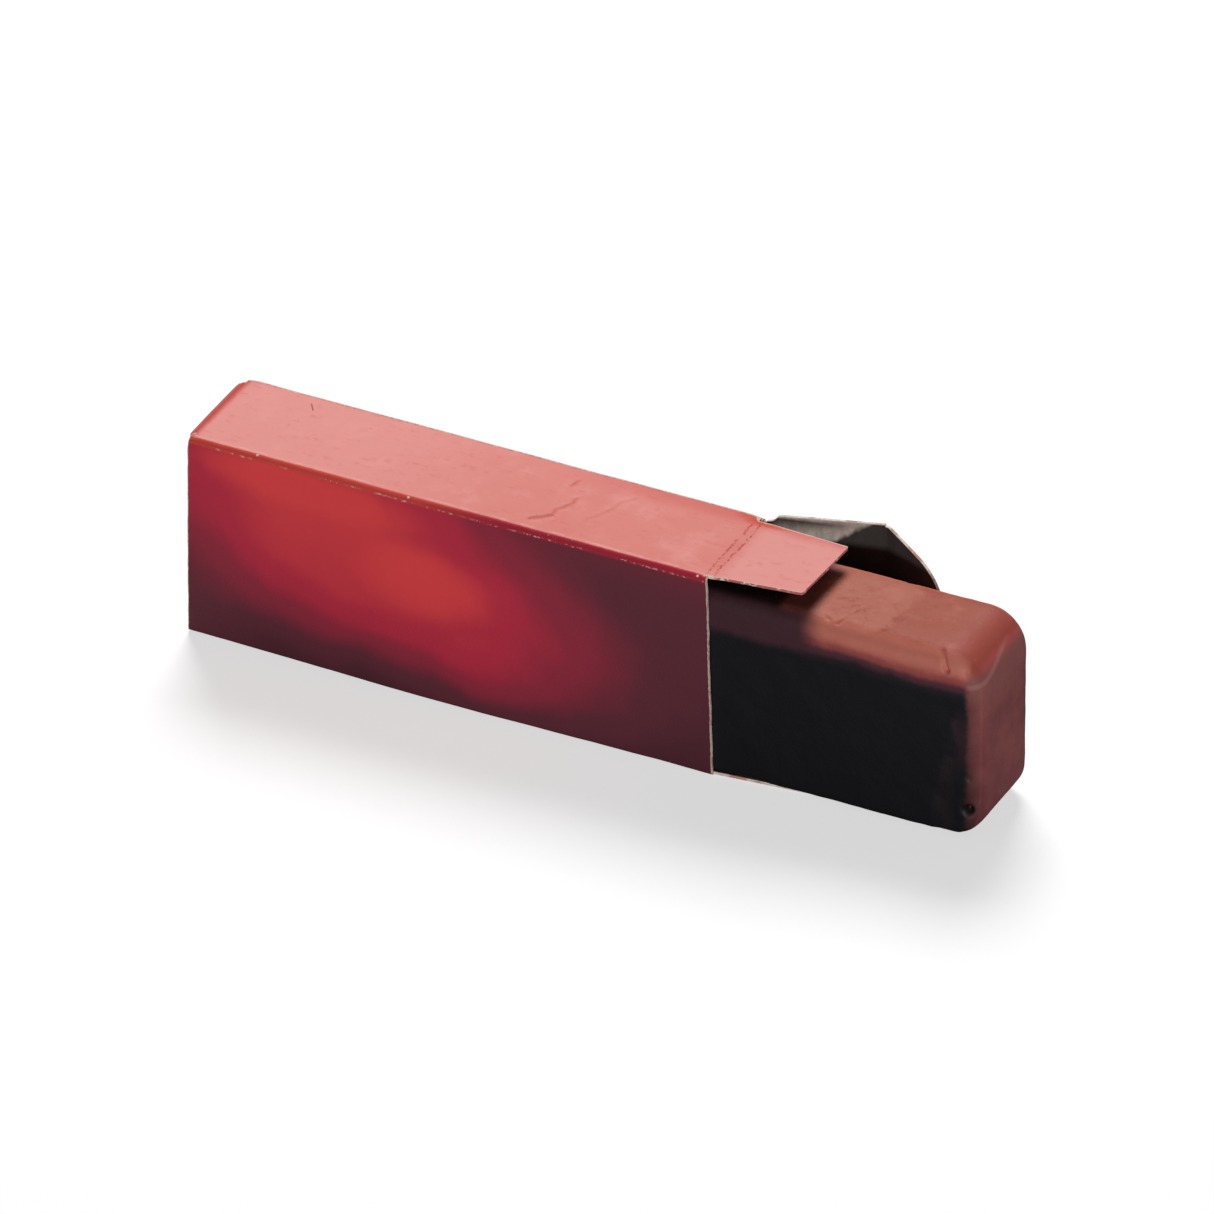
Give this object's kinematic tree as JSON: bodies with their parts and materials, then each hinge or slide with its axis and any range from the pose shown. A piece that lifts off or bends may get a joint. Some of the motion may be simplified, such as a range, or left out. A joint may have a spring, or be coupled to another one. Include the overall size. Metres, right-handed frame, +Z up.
{
  "type": "buffing compound bar",
  "caption": "Cast red-brown bar of buffing compound with rounded ends, lying half drawn out of its folding carton, whose open end has its dust flaps and closing flap folded aside",
  "frame": {"origin": "centre of the carton's underside, on the surface that it lies on", "axes": "+X along the carton towards its open end and the bar, +Y from the carton's front panel to its back panel, +Z up"},
  "size_m": [0.1527, 0.0283, 0.0403],
  "materials": {
    "printed_board": "one-side coated grey-back carton board, printed pink above and crimson with a red glow on the front, worn pale along its folds and cut edges",
    "red_compound": "cast iron-oxide powder in hard wax, satin, fine cracks and casting wrinkles"
  },
  "bodies": {
    "root": {"carton": "printed_board", "compound_bar": "red_compound"}
  },
  "joints": []
}
